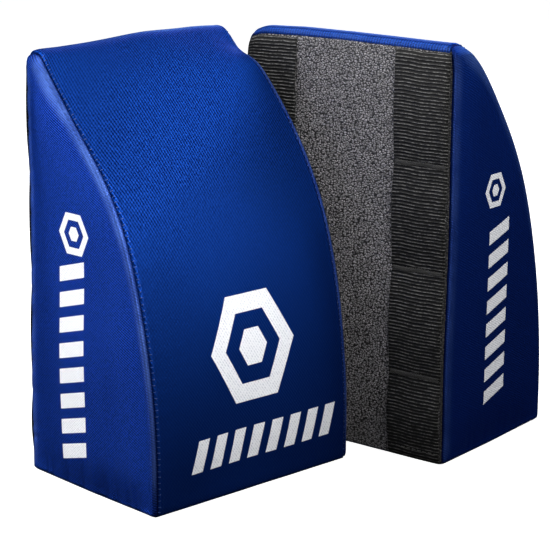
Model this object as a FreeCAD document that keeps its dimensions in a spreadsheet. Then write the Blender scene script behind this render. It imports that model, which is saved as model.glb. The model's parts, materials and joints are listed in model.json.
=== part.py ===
import FreeCAD, Part

import math
import os

import Sketcher
from FreeCAD import Placement, Rotation, Vector

# A pair of catcher's knee supports. Each is a foam wedge in a sewn cover, and its flat back carries two
# webbing strips that are sewn down at intervals, which leaves loops for the calf straps of a leg guard.
#
# A pad is built in its own frame and then placed: X runs across the pad, the front faces -Y, the flat
# back is the plane Y = 0 and the base is the plane Z = 0. The row's frame has Z up and its origin in the
# middle of the pair's footprint, on the surface that both pads stand on. Lengths are in millimetres.

SIZES = {
    # The wedge: its side view is a short upright, then two arcs that lean back to the narrow top.
    "pad_height": 215,
    "pad_width": 128,
    "pad_depth": 95,
    "front_rise": 22,
    "belly_radius": 310,
    "belly_angle": 17.5,
    "brow_radius": 200,
    # The cover: one thickness for nylon and vinyl, and how far the nylon turns on to the back.
    "cover": 0.8,
    "side_return": 2,
    "top_return": 4,
    # The webbing strips, and the loops that their bartacks leave.
    "web_width": 31.5,
    "web_thickness": 1.3,
    "web_margin": 2.5,
    "web_top": 208,
    "web_bottom": 1.5,
    "loop_pitch": 54.2,
    "loop_rise": 3.4,
    "loop_bend": 22,
    "tack_height": 4,
    # Thread: the raised rows of a bartack, and the single stitches beside the front seams.
    "tack_thread": 0.4,
    "stitch_length": 2.4,
    "stitch_pitch": 3.6,
    "stitch_width": 0.5,
    "stitch_rise": 0.25,
    "stitch_inset": 2.6,
    # Where the back of each pad's base stands, and the way that the pad is turned.
    "left_x": -85.0,
    "left_y": -1.4,
    "left_turn": 43.2,
    "right_x": 24.9,
    "right_y": 0.1,
    "right_turn": 143.3,
}

TACKS = 3
ORIGIN = (-1, 1)
PARTS = "parts"

doc = FreeCAD.newDocument("knee_supports")
sheet = doc.addObject("Spreadsheet::Sheet", "Sizes")
for row, (alias, size) in enumerate(SIZES.items(), start=1):
    sheet.set(f"A{row}", alias)
    sheet.set(f"B{row}", str(size))
    sheet.setAlias(f"B{row}", alias)
doc.recompute()


def size(alias):
    return float(sheet.get(alias))


def rule(text):
    """An expression for setExpression: every alias in the text is read from the sheet."""
    words = text.split()
    return " ".join(f"Sizes.{word}" if word in SIZES else word for word in words)


# Sketches


def new_sketch(body, name, plane, offset=None):
    """A sketch on one of the body's own origin planes, moved along the plane's normal by offset."""
    sketch = body.newObject("Sketcher::SketchObject", f"{body.Name}_{name}")
    role = [item for item in body.Origin.OriginFeatures if item.Role == plane]
    sketch.AttachmentSupport = [(role[0], "")]
    sketch.MapMode = "FlatFace"
    if offset:
        sketch.setExpression("AttachmentOffset.Base.z", rule(offset))
    return sketch


def hold(sketch, kind, where, value, text):
    index = sketch.addConstraint(Sketcher.Constraint(kind, *where, value))
    sketch.setExpression(f"Constraints[{index}]", rule(text))


def hold_x(sketch, line, end, text):
    hold(sketch, "DistanceX", (*ORIGIN, line, end), sketch.getPoint(line, end).x, text)


def hold_y(sketch, line, end, text):
    hold(sketch, "DistanceY", (*ORIGIN, line, end), sketch.getPoint(line, end).y, text)


def join(sketch, *pairs):
    for first, first_end, second, second_end in pairs:
        link = Sketcher.Constraint("Coincident", first, first_end, second, second_end)
        sketch.addConstraint(link)


def rectangle(sketch, start, end, x_rules, y_rules):
    """A rectangle between two opposite corners; each rule places one of its sides."""
    (x0, y0), (x1, y1) = start, end
    corners = [Vector(x0, y0), Vector(x1, y0), Vector(x1, y1), Vector(x0, y1)]
    for here, there in zip(corners, corners[1:] + corners[:1]):
        sketch.addGeometry(Part.LineSegment(here, there))
    join(sketch, (0, 2, 1, 1), (1, 2, 2, 1), (2, 2, 3, 1), (3, 2, 0, 1))
    for line, way in enumerate(["Horizontal", "Vertical", "Horizontal", "Vertical"]):
        sketch.addConstraint(Sketcher.Constraint(way, line))
    hold_x(sketch, 0, 1, x_rules[0])
    hold_x(sketch, 1, 1, x_rules[1])
    hold_y(sketch, 0, 1, y_rules[0])
    hold_y(sketch, 2, 1, y_rules[1])


# The side view of the wedge


def arc_centres():
    """Centres of the belly and brow arcs in the side view, as (Y, Z)."""
    angle = math.radians(size("belly_angle"))
    spare = size("belly_radius") - size("brow_radius")
    belly = Vector(size("belly_radius") - size("pad_depth"), size("front_rise"))
    brow = belly + Vector(-spare * math.cos(angle), spare * math.sin(angle))
    return belly, brow


def brow_lean(inset=0.0):
    """How far the front has leaned back where the brow arc meets the top, in radians."""
    rise = size("pad_height") - inset - arc_centres()[1].y
    return math.asin(rise / (size("brow_radius") - inset))


def on_arc(centre, radius, lean):
    return centre + Vector(-radius * math.cos(lean), radius * math.sin(lean))


def side_profile(body, name, inset, offset=None):
    """The closed side view, drawn in from the outside by the size called inset, or by nothing."""
    sketch = new_sketch(body, name, "YZ_Plane", offset)
    step = size(inset) if inset else 0.0
    less = f" - {inset}" if inset else ""
    only = inset or "0"
    angle = math.radians(size("belly_angle"))
    top = brow_lean(step)
    belly, brow = arc_centres()
    belly_radius = size("belly_radius") - step
    brow_radius = size("brow_radius") - step
    toe = Vector(step - size("pad_depth"), step)
    heel = Vector(-step, step)
    crown = Vector(-step, size("pad_height") - step)
    up = Vector(0, 0, 1)
    shapes = [
        Part.LineSegment(heel, toe),
        Part.LineSegment(toe, on_arc(belly, belly_radius, 0)),
        Part.ArcOfCircle(Part.Circle(belly, up, belly_radius), math.pi - angle, math.pi),
        Part.ArcOfCircle(Part.Circle(brow, up, brow_radius), math.pi - top, math.pi - angle),
        Part.LineSegment(on_arc(brow, brow_radius, top), crown),
        Part.LineSegment(crown, heel),
    ]
    sketch.addGeometry(shapes, False)
    join(sketch, (0, 2, 1, 1), (3, 1, 4, 1), (4, 2, 5, 1), (5, 2, 0, 1))
    sketch.addConstraint(Sketcher.Constraint("Tangent", 1, 2, 2, 2))
    sketch.addConstraint(Sketcher.Constraint("Tangent", 2, 1, 3, 2))
    for line, way in [(0, "Horizontal"), (1, "Vertical"), (4, "Horizontal"), (5, "Vertical")]:
        sketch.addConstraint(Sketcher.Constraint(way, line))
    hold_x(sketch, 5, 1, f"0 - {only}")
    hold_y(sketch, 0, 1, only)
    hold_x(sketch, 1, 1, f"0 - pad_depth{' + ' + inset if inset else ''}")
    hold_y(sketch, 2, 2, "front_rise")
    hold_y(sketch, 4, 1, "pad_height" + less)
    hold(sketch, "Radius", (2,), belly_radius, "belly_radius" + less)
    hold(sketch, "Radius", (3,), brow_radius, "brow_radius" + less)
    hold(sketch, "Angle", (2,), angle, "belly_angle * 1 deg")
    return sketch


# Features


def new_body(label):
    body = doc.addObject("PartDesign::Body", label)
    body.Label = label
    return body


def pad(body, sketch, length, both_ways=False):
    feature = body.newObject("PartDesign::Pad", f"{sketch.Name}_pad")
    feature.Profile = sketch
    feature.setExpression("Length", rule(length))
    if both_ways:
        feature.SideType = "Symmetric"
    return feature


def pocket(body, sketch, length):
    feature = body.newObject("PartDesign::Pocket", f"{sketch.Name}_pocket")
    feature.Profile = sketch
    feature.SideType = "Symmetric"
    feature.setExpression("Length", rule(length))
    return feature


def plain_piece(label, shape):
    piece = doc.addObject("Part::Feature", label)
    piece.Label = label
    piece.Shape = shape
    return piece


# The pieces of one pad


def foam_core(label):
    body = new_body(label)
    pad(body, side_profile(body, "profile", "cover"), "pad_width - 2 * cover", True)
    return body


def front_panel(label):
    """A band of nylon round the front and top, open at the base and back except for a short return."""
    body = new_body(label)
    pad(body, side_profile(body, "outside", None), "pad_width - 2 * cover", True)
    pocket(body, side_profile(body, "inside", "cover"), "pad_width")
    cover, depth = size("cover"), size("pad_depth")
    base = new_sketch(body, "open_base", "YZ_Plane")
    rectangle(base, (cover - depth, -cover), (cover, cover),
              ("cover - pad_depth", "cover"), ("0 - cover", "cover"))
    pocket(body, base, "pad_width")
    back = new_sketch(body, "open_back", "YZ_Plane")
    rectangle(back, (-cover, -cover), (cover, size("pad_height") - size("top_return")),
              ("0 - cover", "cover"), ("0 - cover", "pad_height - top_return"))
    pocket(body, back, "pad_width")
    return body


def side_panel(label, hand):
    """A flat side of nylon, with a narrow return on to the back. hand is -1 for left and 1 for right."""
    body = new_body(label)
    outer = "0 - pad_width / 2" if hand < 0 else "pad_width / 2 - cover"
    pad(body, side_profile(body, "profile", None, outer), "cover")
    near, far = size("pad_width") / 2 - size("side_return"), size("pad_width") / 2 - size("cover")
    sign = "0 - 1" if hand < 0 else "1"
    turned = new_sketch(body, "return", "XY_Plane", "cover")
    rectangle(turned, (hand * near, -size("cover")), (hand * far, 0),
              (f"( {sign} ) * ( pad_width / 2 - side_return )", f"( {sign} ) * ( pad_width / 2 - cover )"),
              ("0 - cover", "0"))
    pad(body, turned, "pad_height - top_return - cover")
    return body


def base_panel(label):
    body = new_body(label)
    half, cover, depth = size("pad_width") / 2, size("cover"), size("pad_depth")
    outline = new_sketch(body, "outline", "XY_Plane")
    rectangle(outline, (cover - half, cover - depth), (half - cover, 0),
              ("cover - pad_width / 2", "pad_width / 2 - cover"), ("cover - pad_depth", "0"))
    pad(body, outline, "cover")
    return body


def back_panel(label):
    """The vinyl back, between the returns of the side panels and the return of the front panel."""
    body = new_body(label)
    half, cover = size("pad_width") / 2 - size("side_return"), size("cover")
    outline = new_sketch(body, "outline", "XY_Plane", "cover")
    rectangle(outline, (-half, -cover), (half, 0),
              ("side_return - pad_width / 2", "pad_width / 2 - side_return"), ("0 - cover", "0"))
    pad(body, outline, "pad_height - top_return - cover")
    return body


def tack_heights():
    """Middles of the bartacks between the loops, from the lowest up."""
    return [size("web_top") - size("loop_pitch") * count for count in range(TACKS, 0, -1)]


def arc_between(centre, radius, start, end):
    """A circular edge in the side view, from one angle to the other; angles are from +Y towards +Z."""
    points = []
    for angle in (start, (start + end) / 2, end):
        points.append(centre + Vector(0, radius * math.cos(angle), radius * math.sin(angle)))
    return Part.Arc(*points).toShape()


def loop_face(side, bottom, top, lift):
    """One face of one loop, seen from the side: flat where it is sewn, then up off the back, over and
    down again. side is its X, and lift is its height over the webbing's underside."""
    low, high = bottom + size("tack_height") / 2, top - size("tack_height") / 2
    half = (high - low) / 2
    slope = 2 * math.atan(size("loop_rise") / half)
    bend = size("loop_bend")
    crown = half / math.sin(slope) - bend
    middle = Vector(side, size("loop_rise") - crown, low + half)
    return [
        Part.makeLine(Vector(side, lift, bottom), Vector(side, lift, low)),
        arc_between(Vector(side, bend, low), bend - lift, math.pi, math.pi - slope),
        arc_between(middle, crown + lift, -slope, slope),
        arc_between(Vector(side, bend, high), bend - lift, math.pi + slope, math.pi),
        Part.makeLine(Vector(side, lift, high), Vector(side, lift, top)),
    ]


def webbing_start(hand):
    """X of the strip's lower side: the strips lie along the two long edges of the back."""
    outer = size("pad_width") / 2 - size("web_margin")
    return -outer if hand < 0 else outer - size("web_width")


def webbing(label, hand):
    """A strip as one solid for each loop. The loops meet face to face in the middle of each bartack."""
    side, thick = webbing_start(hand), size("web_thickness")
    heights = [size("web_bottom"), *tack_heights(), size("web_top")]
    loops = []
    for bottom, top in zip(heights, heights[1:]):
        edges = loop_face(side, bottom, top, 0) + loop_face(side, bottom, top, thick)
        for end in (bottom, top):
            edges.append(Part.makeLine(Vector(side, 0, end), Vector(side, thick, end)))
        outline = Part.Wire(Part.__sortEdges__(edges))
        loops.append(Part.Face(outline).extrude(Vector(size("web_width"), 0, 0)))
    return plain_piece(label, Part.makeCompound(loops))


def bartacks(label, hand):
    """Three raised bars of thread that lie across the strip where it is sewn to the back."""
    clear = size("tack_height") / 4
    bars = []
    for count, height in enumerate(tack_heights(), start=1):
        bar = doc.addObject("Part::Box", f"{label}_{count}")
        bar.setExpression("Length", rule("web_width - tack_height / 2"))
        bar.setExpression("Width", rule("tack_thread"))
        bar.setExpression("Height", rule("tack_height / 2"))
        bar.Placement.Base = Vector(webbing_start(hand) + clear, size("web_thickness"), height - clear)
        bars.append(bar)
    group = doc.addObject("Part::Compound", label)
    group.Label = label
    group.Links = bars
    return group


def front_stations(pitch):
    """Points up the front at even steps along it, each with its lean from upright in radians."""
    rise, lean = size("front_rise"), math.radians(size("belly_angle"))
    belly, brow = arc_centres()
    belly_length = size("belly_radius") * lean
    brow_length = size("brow_radius") * (brow_lean() - lean)
    travel = pitch
    while travel < rise + belly_length + brow_length - pitch:
        if travel < rise:
            yield Vector(-size("pad_depth"), travel), 0.0
        elif travel < rise + belly_length:
            angle = (travel - rise) / size("belly_radius")
            yield on_arc(belly, size("belly_radius"), angle), angle
        else:
            angle = lean + (travel - rise - belly_length) / size("brow_radius")
            yield on_arc(brow, size("brow_radius"), angle), angle
        travel += pitch


def topstitch(label, hand):
    """Single stitches of thread that lie on the front panel, beside its seam."""
    width, length, rise = size("stitch_width"), size("stitch_length"), size("stitch_rise")
    seam = hand * (size("pad_width") / 2 - size("stitch_inset"))
    corner = Vector(-width / 2, -rise, -length / 2)
    stitches = []
    for point, lean in front_stations(size("stitch_pitch")):
        stitch = Part.makeBox(width, rise, length, corner)
        turn = Rotation(Vector(1, 0, 0), -math.degrees(lean))
        stitch.Placement = Placement(Vector(seam, point.x, point.y), turn).multiply(stitch.Placement)
        stitches.append(stitch)
    return plain_piece(label, Part.makeCompound(stitches))


def build_pad(name):
    """All the pieces of one pad, in the pad's own frame, each then moved to where the pad stands."""
    pieces = [
        foam_core(f"{name}_pad_foam_core"),
        front_panel(f"{name}_pad_front_panel"),
        base_panel(f"{name}_pad_base_panel"),
        back_panel(f"{name}_pad_back_panel"),
    ]
    for side, hand in (("left", -1), ("right", 1)):
        pieces.append(side_panel(f"{name}_pad_{side}_side_panel", hand))
        pieces.append(webbing(f"{name}_pad_{side}_webbing", hand))
        pieces.append(bartacks(f"{name}_pad_{side}_bartacks", hand))
        pieces.append(topstitch(f"{name}_pad_{side}_topstitch", hand))
    stand = Vector(size(f"{name}_x"), size(f"{name}_y"), 0)
    turn = Rotation(Vector(0, 0, 1), size(f"{name}_turn"))
    for piece in pieces:
        piece.Placement = Placement(stand, turn)
    return pieces


def check_document():
    for item in doc.Objects:
        if "Invalid" in item.State or "Error" in item.State:
            raise RuntimeError(f"{item.Name} failed: {item.State}")


def check_piece(piece):
    if piece.Shape.isNull() or not piece.Shape.isValid() or piece.Shape.Volume <= 0:
        raise RuntimeError(f"{piece.Label} has no valid shape")


nodes = build_pad("left") + build_pad("right")
doc.recompute()
check_document()
os.makedirs(PARTS, exist_ok=True)
for node in nodes:
    check_piece(node)
    node.Shape.exportStep(os.path.join(PARTS, f"{node.Label}.step"))
print(f"{len(nodes)} nodes, {sum(node.Shape.Volume for node in nodes) / 1000:.0f} cm3")
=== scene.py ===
from collections import namedtuple
from functools import reduce
import json
import math

import bmesh
import bpy
import numpy as np
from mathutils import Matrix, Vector


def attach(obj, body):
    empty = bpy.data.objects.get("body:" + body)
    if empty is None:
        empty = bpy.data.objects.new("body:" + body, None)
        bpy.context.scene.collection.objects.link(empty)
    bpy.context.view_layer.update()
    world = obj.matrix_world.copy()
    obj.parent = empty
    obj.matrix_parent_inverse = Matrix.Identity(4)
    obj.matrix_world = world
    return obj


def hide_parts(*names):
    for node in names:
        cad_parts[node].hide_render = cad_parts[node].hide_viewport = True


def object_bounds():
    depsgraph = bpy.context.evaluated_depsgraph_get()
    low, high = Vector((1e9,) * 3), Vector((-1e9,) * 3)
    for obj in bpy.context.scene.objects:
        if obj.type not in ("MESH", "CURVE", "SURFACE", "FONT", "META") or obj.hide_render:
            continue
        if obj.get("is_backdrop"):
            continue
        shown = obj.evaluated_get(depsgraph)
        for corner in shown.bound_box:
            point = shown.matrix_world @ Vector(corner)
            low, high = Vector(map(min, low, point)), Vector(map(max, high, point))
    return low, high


# The looks of a pair of catcher's knee supports. The CAD model gives where each pad stands, its size and
# its pieces; this script makes the sewn cover, the webbing and the thread that are seen.
#
# Each pad is worked out in its own frame, in millimetres: x runs across the pad, y from the front (negative)
# to the flat back (0), and z up from the base. to_row() turns that into the row's frame, in metres.

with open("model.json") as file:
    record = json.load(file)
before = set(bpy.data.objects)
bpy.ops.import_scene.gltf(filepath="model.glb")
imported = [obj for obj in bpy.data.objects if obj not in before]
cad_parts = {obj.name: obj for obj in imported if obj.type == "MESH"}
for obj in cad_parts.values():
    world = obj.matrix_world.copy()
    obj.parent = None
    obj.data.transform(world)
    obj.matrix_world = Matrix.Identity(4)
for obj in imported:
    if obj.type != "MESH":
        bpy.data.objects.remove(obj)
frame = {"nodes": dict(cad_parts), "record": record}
cad_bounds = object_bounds()

MM = 0.001
PADS = ("left", "right")
HANDS = (("left", -1), ("right", 1))
RNG_SEED = 7

# The side view: a short upright, then two arcs that lean back to the top.
FRONT_RISE = 22.0
BELLY_RADIUS = 310.0
BELLY_ANGLE = math.radians(17.5)
BROW_RADIUS = 200.0
TOP_RETURN = 4.0
OUTLINE_STEP = 0.25

# How softly the outline turns its corners (heel, toe, brow, crown), as the width of a blur.
CORNER_BLUR = (2.0, 2.2, 3.2, 2.3)
# The rounding between the band and the sides, and where on it the seam lies: at the middle of the base,
# the front's two ends, the middle of the top and the back's two ends.
EDGE_RADIUS = (2.4, 2.8, 3.7, 4.6, 5.4, 4.4)
SEAM_ANGLE = (0.45, 0.30, 0.28, 0.36, 0.66, 0.70)
LEG_END = 14.0
# How round the top corners are as seen from the back, on the pad's left and right.
TOP_CORNERS = {"left": (9.0, 6.0), "right": (6.5, 15.0)}

# How far the top edge stands above or below the plain shape, at places across each pad.
TOP_SLACK = {
    "left": ((-64, -45, -20, 10, 40, 64), (-2.4, -2.2, -0.8, 0.6, 1.2, 0.6)),
    "right": ((-64, -40, 0, 30, 50, 64), (-1.4, -0.6, 0.5, 0.7, 0.2, 0.0)),
}
# How far each pad's heel spreads at its left end.
HEEL_SPREAD = 2.8
# The height at which the top edge's slack begins, and the heights over which the heel's spread dies away.
SLACK_FROM = 120
HEEL_FADE = (40, 130)
# Where the filling pushes the cover out or the seams draw it in: each is a push, its middle and its reach.
PUSHES = {
    "left": (
        ((-3.2, 1.6, -4.4), (64.0, -13.0, 206.0), (15.0, 14.0, 9.0)),
        ((0.0, 3.6, -3.0), (-64.0, -45.0, 186.0), (20.0, 60.0, 30.0)),
        ((1.0, -1.2, 0.2), (64.0, -75.0, 130.0), (34.0, 60.0, 55.0)),
    ),
    "right": (
        ((-0.6, -1.0, 0.6), (-64.0, -25.0, 200.0), (30.0, 22.0, 22.0)),
    ),
}
# A push whose middle lies further forward than this leaves the back alone, and grows over this depth.
PUSH_FRONT = -30
PUSH_FADE = 25

# How thick the cloth is, and how far inside its plain shape the foam lies.
CLOTH = 0.7
FOAM_INSET = 2.2
# How high the cloth's inner face and the foam stand above the floor.
LINING_FLOOR = 0.3
FOAM_FLOOR = 0.6
# Points of the foam's rim that are nearer than this are made one.
WELD_REACH = 0.25

# The stitching: the row through the back's lower hem, and the stitches over the front's side seams.
HEM_HEIGHT = 6.5
HEM_PITCH = 3.3
HEM_STITCH = 2.4
STITCH_PITCH = 2.95
STITCH_LENGTH = 1.4
# How far a topstitch's middle lies inside its seam.
STITCH_INSET = 0.85
# Places along one stitch, from end to end.
STITCH_PARTS = np.linspace(-1, 1, 7)
# Half the width of each thread: in the topstitch, the hem, the bartacks' zigzag and the laid threads
# under it.
TOPSTITCH_THREAD = 0.20
HEM_THREAD = 0.24
TACK_THREAD = 0.21
LAID_THREAD = 0.2

# The webbing: its size, and the loops that its bartacks leave.
WEB_WIDTH = 31.5
WEB_THICKNESS = 1.3
WEB_MARGIN = 2.5
WEB_TOP = 208.0
WEB_BOTTOM = 1.5
LOOP_PITCH = 54.2
LOOP_RISE = 3.4
LOOP_BEND = 22.0
# The least and the most that a loop bows, in parts of LOOP_RISE.
LOOP_BOW = (0.25, 0.48)
TACK_HEIGHT = 4.0
# How far apart the bartacks' zigzag turns, and the ribs' pitch and depth.
TACK_STEP = 0.42
RIB_PITCH = 1.74
RIB_DEPTH = 0.42
# How much thinner the webbing is pressed under a bartack, and how far its ends sink into the seams.
TACK_SQUEEZE = 0.28
TUCK_DEPTH = 2.6
# The width of the strip's closely woven edge, where the ribs are shallower.
SELVAGE = 1.3
# The radius over which the webbing follows the rounding of the back's edge, and how fully it does.
WEB_HUG = 5.0
WEB_DROP = 0.75
# The webbing's mesh: its rows up the strip, and its points across one face.
WEB_ROWS = 840
WEB_COLUMNS = 30


def vectors(*parts):
    """Points or directions, from an array for each coordinate."""
    return np.stack(parts, axis=-1)


def unit_grid(rows, columns):
    """Places from 0 to 1 over a grid of this many rows and columns."""
    return np.meshgrid(np.linspace(0, 1, rows), np.linspace(0, 1, columns), indexing="ij")


def add_object(name, data):
    item = bpy.data.objects.new(name, data)
    bpy.context.scene.collection.objects.link(item)
    return item


# Places and sizes, read from the frame


class Place:
    """Where one pad stands: its back's mount gives the spot and the way that the back faces."""

    def __init__(self, pad):
        mounts = {mount["name"]: mount for mount in frame["record"]["mounts"]}
        back = mounts[f"{pad}_pad_back"]
        self.x, self.y = back["pos_m"][0] / MM, back["pos_m"][1] / MM
        self.cos, self.sin = back["axis"][1], -back["axis"][0]

    def to_row(self, points):
        points = np.asarray(points, float)
        x = self.x + points[..., 0] * self.cos - points[..., 1] * self.sin
        y = self.y + points[..., 0] * self.sin + points[..., 1] * self.cos
        return vectors(x, y, points[..., 2]) * MM

    def to_pad(self, points):
        """The other way: from the row's frame, in metres, to the pad's, in millimetres."""
        points = np.asarray(points, float) / MM
        x, y = points[..., 0] - self.x, points[..., 1] - self.y
        return vectors(x * self.cos + y * self.sin, y * self.cos - x * self.sin, points[..., 2])


places = {pad: Place(pad) for pad in PADS}


def pad_size():
    """Width, depth and height of the cover, measured on the CAD model's side and front panels."""
    place = places["left"]
    corners = []
    for node in ("left_pad_left_side_panel", "left_pad_right_side_panel", "left_pad_front_panel"):
        corners.append(place.to_pad([v.co for v in frame["nodes"][node].data.vertices]))
    corners = np.concatenate(corners)
    low, high = corners.min(axis=0), corners.max(axis=0)
    return high[0] - low[0], high[1] - low[1], high[2] - low[2]


WIDTH, DEPTH, HEIGHT = pad_size()
HALF = WIDTH / 2


# The side view


def arc(centre, radius, start, end):
    """Points on a front arc, from one lean to another; a lean of 0 is straight ahead."""
    count = max(2, int(radius * abs(end - start) / OUTLINE_STEP))
    lean = np.linspace(start, end, count)
    return vectors(centre[0] - radius * np.cos(lean), centre[1] + radius * np.sin(lean))


def line(start, end):
    start, end = np.array(start, float), np.array(end, float)
    count = max(2, int(np.linalg.norm(end - start) / OUTLINE_STEP))
    return start + (end - start) * np.linspace(0, 1, count)[:, None]


def blurred(loop, widths):
    """A closed loop of points, each averaged with its neighbours over its own width in millimetres."""
    reach = int(4 * widths.max() / OUTLINE_STEP)
    total, weights = np.zeros_like(loop), np.zeros(len(loop))
    for shift in range(-reach, reach + 1):
        weight = np.exp(-0.5 * (shift * OUTLINE_STEP / widths) ** 2)
        total += np.roll(loop, -shift, axis=0) * weight[:, None]
        weights += weight
    return total / weights[:, None]


class Outline:
    """The pad's side view as a closed loop from the heel: the base, the front, the top and the back."""

    def __init__(self):
        belly = (BELLY_RADIUS - DEPTH, FRONT_RISE)
        spare = BELLY_RADIUS - BROW_RADIUS
        brow = (belly[0] - spare * math.cos(BELLY_ANGLE), belly[1] + spare * math.sin(BELLY_ANGLE))
        lean = math.asin((HEIGHT - brow[1]) / BROW_RADIUS)
        tip = brow[0] - BROW_RADIUS * math.cos(lean)
        legs = [
            [line((0, 0), (-DEPTH, 0))],
            [line((-DEPTH, 0), (-DEPTH, FRONT_RISE)), arc(belly, BELLY_RADIUS, 0, BELLY_ANGLE),
             arc(brow, BROW_RADIUS, BELLY_ANGLE, lean)],
            [line((tip, HEIGHT), (0, HEIGHT))],
            [line((0, HEIGHT), (0, 0))],
        ]
        dense, corners = [], [0.0]
        for leg in legs:
            points = np.concatenate(leg)
            corners.append(corners[-1] + np.linalg.norm(np.diff(points, axis=0), axis=1).sum())
            dense.append(points)
        self.corners, self.length = corners[:4], corners[4]
        dense = np.concatenate(dense)
        travel = np.concatenate([[0], np.cumsum(np.linalg.norm(np.diff(dense, axis=0), axis=1))])
        self.s = np.arange(0, self.length, OUTLINE_STEP)
        loop = np.stack([np.interp(self.s, travel, dense[:, axis]) for axis in (0, 1)], axis=-1)
        widths = self.around(self.s, CORNER_BLUR, self.corners)
        self.points = blurred(loop, widths)
        ahead, behind = np.roll(self.points, -1, axis=0), np.roll(self.points, 1, axis=0)
        way = (ahead - behind) / np.linalg.norm(ahead - behind, axis=1)[:, None]
        self.normals = vectors(-way[:, 1], way[:, 0])
        heel, toe, brow, crown, end = corners
        spots = ((heel + toe) / 2, toe + LEG_END, brow - LEG_END, (brow + crown) / 2,
                 crown + LEG_END, end - LEG_END)
        self.radii = self.around(self.s, EDGE_RADIUS, spots)
        self.angles = self.around(self.s, SEAM_ANGLE, spots)

    def around(self, s, values, spots):
        """A value for each place on the loop, from its values at some spots."""
        return np.interp(s, spots, values, period=self.length)

    def at(self, s):
        """Point, outward normal, edge radius and seam angle at a distance along the loop."""
        s = np.mod(s, self.length)
        columns = np.column_stack([self.points, self.normals, self.radii, self.angles])
        found = [np.interp(s, self.s, columns[:, k], period=self.length) for k in range(6)]
        normal = np.stack(found[2:4], axis=-1)
        normal /= np.linalg.norm(normal, axis=-1, keepdims=True)
        return np.stack(found[:2], axis=-1), normal, found[4], found[5]

    def seam_reach(self, s):
        """How far the band reaches from the pad's middle to its seam, measured along the cloth."""
        _, _, radius, angle = self.at(s)
        return HALF - radius + radius * angle

    def nearest(self, points):
        """The distance along the loop of its nearest point to each of these points."""
        flat = points.reshape(-1, 2)
        found = np.empty(len(flat))
        for start in range(0, len(flat), 2000):
            part = flat[start:start + 2000]
            gap = ((part[:, None, :] - self.points[None]) ** 2).sum(axis=-1)
            spot = gap.argmin(axis=1)
            way = vectors(self.normals[spot, 1], -self.normals[spot, 0])
            slide = ((part - self.points[spot]) * way).sum(axis=-1)
            found[start:start + 2000] = self.s[spot] + np.clip(slide, -OUTLINE_STEP, OUTLINE_STEP)
        return found.reshape(points.shape[:-1])


outline = Outline()
S_HEEL, S_TOE, S_BROW, S_CROWN = outline.corners
S_RETURN = S_CROWN + TOP_RETURN
S_END = outline.length
QUARTER = math.pi / 2


# Seeded waves, the same on every run


def waves(x, lengths, seed):
    draw = np.random.default_rng(seed)
    total = np.zeros_like(x)
    for length in lengths:
        total += np.sin(2 * math.pi * x / length + draw.uniform(0, 2 * math.pi))
    return total / math.sqrt(len(lengths))


def ripples(x, y, lengths, seed):
    """Gentle waves over a plane, one for each length, each in a direction of its own."""
    draw = np.random.default_rng(seed)
    total = np.zeros_like(x)
    for length in lengths:
        way, phase = draw.uniform(0, math.pi), draw.uniform(0, 2 * math.pi)
        total += np.sin(2 * math.pi * (x * math.cos(way) + y * math.sin(way)) / length + phase)
    return total / math.sqrt(len(lengths))


def pinches(x, spacing, seed):
    """Narrow dents at uneven spaces: 1 at a dent, falling to 0 between dents."""
    shifted = x / spacing + 0.3 * waves(x, (spacing * 3.1, spacing * 1.7), seed)
    return (1 - np.abs(np.sin(math.pi * shifted))) ** 1.6


def bell(x, middle, width):
    return np.exp(-((x - middle) / width) ** 2)


def stations(length, coarse, fine, spots, reach):
    """Places from 0 to 1 along a length: coarse steps, closing up to fine ones around the spots."""
    x = np.linspace(0, length, 4000)
    near = np.zeros_like(x)
    for spot in spots:
        near = np.maximum(near, bell(x, spot, reach))
    density = 1 / coarse + (1 / fine - 1 / coarse) * near
    count = np.concatenate([[0], np.cumsum((density[1:] + density[:-1]) / 2 * np.diff(x))])
    steps = int(math.ceil(count[-1]))
    return np.interp(np.linspace(0, count[-1], steps + 1), count, x) / length


# The surfaces of the cover: each panel covers a unit square


class Surface(namedtuple("Surface", "point normal cut edge along")):
    """Points, normals, places in the flat cloth, distances to the seams and places along the outline."""

    @property
    def xy(self):
        return self.cut[..., 0], self.cut[..., 1]

    @property
    def nearest(self):
        """The distance to the nearest seam."""
        return np.min(list(self.edge.values()), axis=0)


def band_point(s, across):
    """A point on the band round the pad; across is measured along the cloth from the middle."""
    spot, out, radius, _ = outline.at(s)
    turn = np.clip(np.abs(across) - (HALF - radius), 0, None) / radius
    side = np.sign(across)
    x = np.where(turn > 0, side * (HALF - radius + radius * np.sin(turn)), across)
    inward = radius * (1 - np.cos(turn))
    yz = spot - inward[..., None] * out
    point = vectors(x, yz[..., 0], yz[..., 1])
    cos = np.cos(turn)
    normal = vectors(side * np.sin(turn), cos * out[..., 0], cos * out[..., 1])
    return point, normal


class BandPanel:
    """A panel of the band: the base, the front or the back."""

    def __init__(self, start, end):
        self.start, self.end = start, end

    def surface(self, a, b):
        s = self.start + (self.end - self.start) * a
        reach = outline.seam_reach(s)
        across = (2 * b - 1) * reach
        point, normal = band_point(s, across)
        edges = {"side": reach - np.abs(across), "start": s - self.start, "end": self.end - s}
        return Surface(point, normal, vectors(across, s - self.start), edges, s)

    def places(self, s, across):
        """The panel's own places, from 0 to 1, for places along the outline and across the cloth."""
        return (s - self.start) / (self.end - self.start), 0.5 + across / outline.seam_reach(s) / 2

    def grid(self, coarse, fine, spots, reach):
        length = self.end - self.start
        rows = stations(length, coarse, fine, [spot - self.start for spot in spots], reach)
        columns = stations(WIDTH, coarse, fine, (0, WIDTH), reach)
        return np.meshgrid(rows, columns, indexing="ij")


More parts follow.
